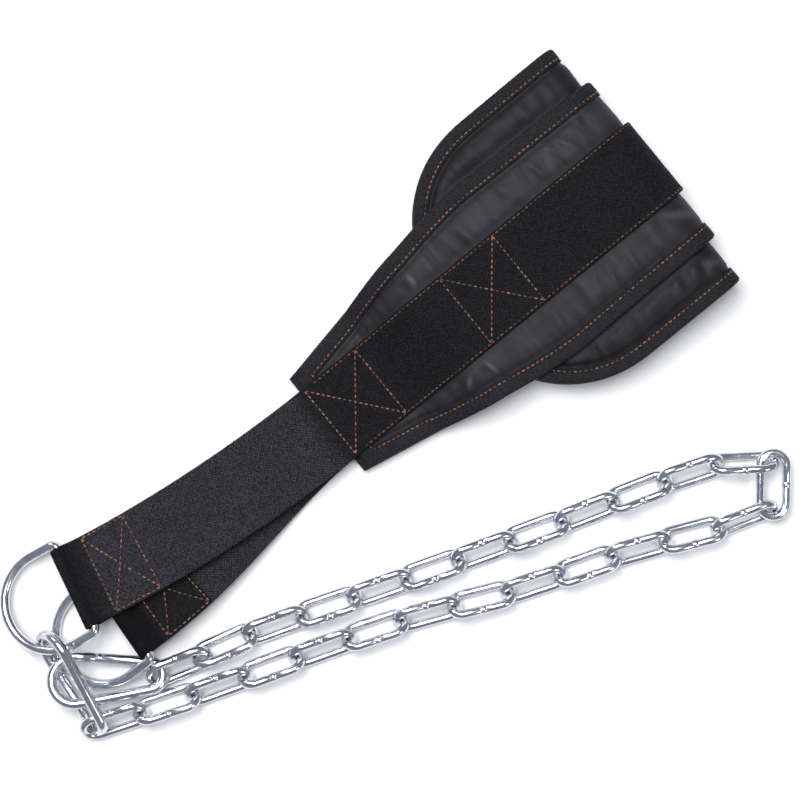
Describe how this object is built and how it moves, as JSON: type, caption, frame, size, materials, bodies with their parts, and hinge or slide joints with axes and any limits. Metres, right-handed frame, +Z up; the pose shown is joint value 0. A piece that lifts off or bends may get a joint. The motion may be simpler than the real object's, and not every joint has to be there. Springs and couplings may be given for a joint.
{
  "type": "dip belt",
  "caption": "Padded waist belt folded in half, with webbing, a D-ring at each end, two spring hooks and a steel chain laid beside it.",
  "frame": {"origin": "on the surface that the belt lies on, under the middle of the whole box", "axes": "+Z up from that surface; the belt runs at about 39 degrees to +X with its fold towards +X and +Y, and the chain lies along +X on the -Y side"},
  "size_m": [0.4564, 0.3972, 0.0392],
  "materials": {
    "panel_fabric": "coated woven polyester over thin foam, matt to satin",
    "binding_tape": "woven polyester binding tape, matt, with rust-brown stitches",
    "webbing": "coarse woven polypropylene webbing, matt",
    "zinc_steel": "bright zinc-plated steel wire, bent and butt-welded"
  },
  "bodies": {
    "root": {"lumbar_pad": "panel_fabric", "pad_binding": "binding_tape", "outer_strip": "panel_fabric", "strip_binding": "binding_tape", "webbing": "webbing", "d_ring_1": "zinc_steel", "d_ring_2": "zinc_steel", "carabiner_1_body": "zinc_steel", "carabiner_2_body": "zinc_steel", "chain_link_01": "zinc_steel", "chain_link_02": "zinc_steel", "chain_link_03": "zinc_steel", "chain_link_04": "zinc_steel", "chain_link_05": "zinc_steel", "chain_link_06": "zinc_steel", "chain_link_07": "zinc_steel", "chain_link_08": "zinc_steel", "chain_link_09": "zinc_steel", "chain_link_10": "zinc_steel", "chain_link_11": "zinc_steel", "chain_link_12": "zinc_steel", "chain_link_13": "zinc_steel", "chain_link_14": "zinc_steel", "chain_link_15": "zinc_steel", "chain_link_16": "zinc_steel", "chain_link_17": "zinc_steel", "chain_link_18": "zinc_steel", "chain_link_19": "zinc_steel", "chain_link_20": "zinc_steel", "chain_link_21": "zinc_steel", "chain_link_22": "zinc_steel", "chain_link_23": "zinc_steel", "chain_link_24": "zinc_steel", "chain_link_25": "zinc_steel", "chain_link_26": "zinc_steel"},
    "carabiner_1_gate": {"carabiner_1_gate": "zinc_steel"},
    "carabiner_2_gate": {"carabiner_2_gate": "zinc_steel"}
  },
  "joints": [
    {"name": "carabiner_1_gate_hinge", "type": "hinge", "parent": "root", "child": "carabiner_1_gate", "pos_m": [-0.17874, -0.18429, 0.00573], "axis": [0.7138, 0.4629, -0.5256], "range_deg": [0, 20], "stiffness_Nm_per_rad": 0.03, "springref_deg": -11.46},
    {"name": "carabiner_2_gate_hinge", "type": "hinge", "parent": "root", "child": "carabiner_2_gate", "pos_m": [-0.14439, -0.1525, 0.00759], "axis": [0.082, 0.1941, 0.9775], "range_deg": [0, 20], "stiffness_Nm_per_rad": 0.03, "springref_deg": -11.46}
  ]
}
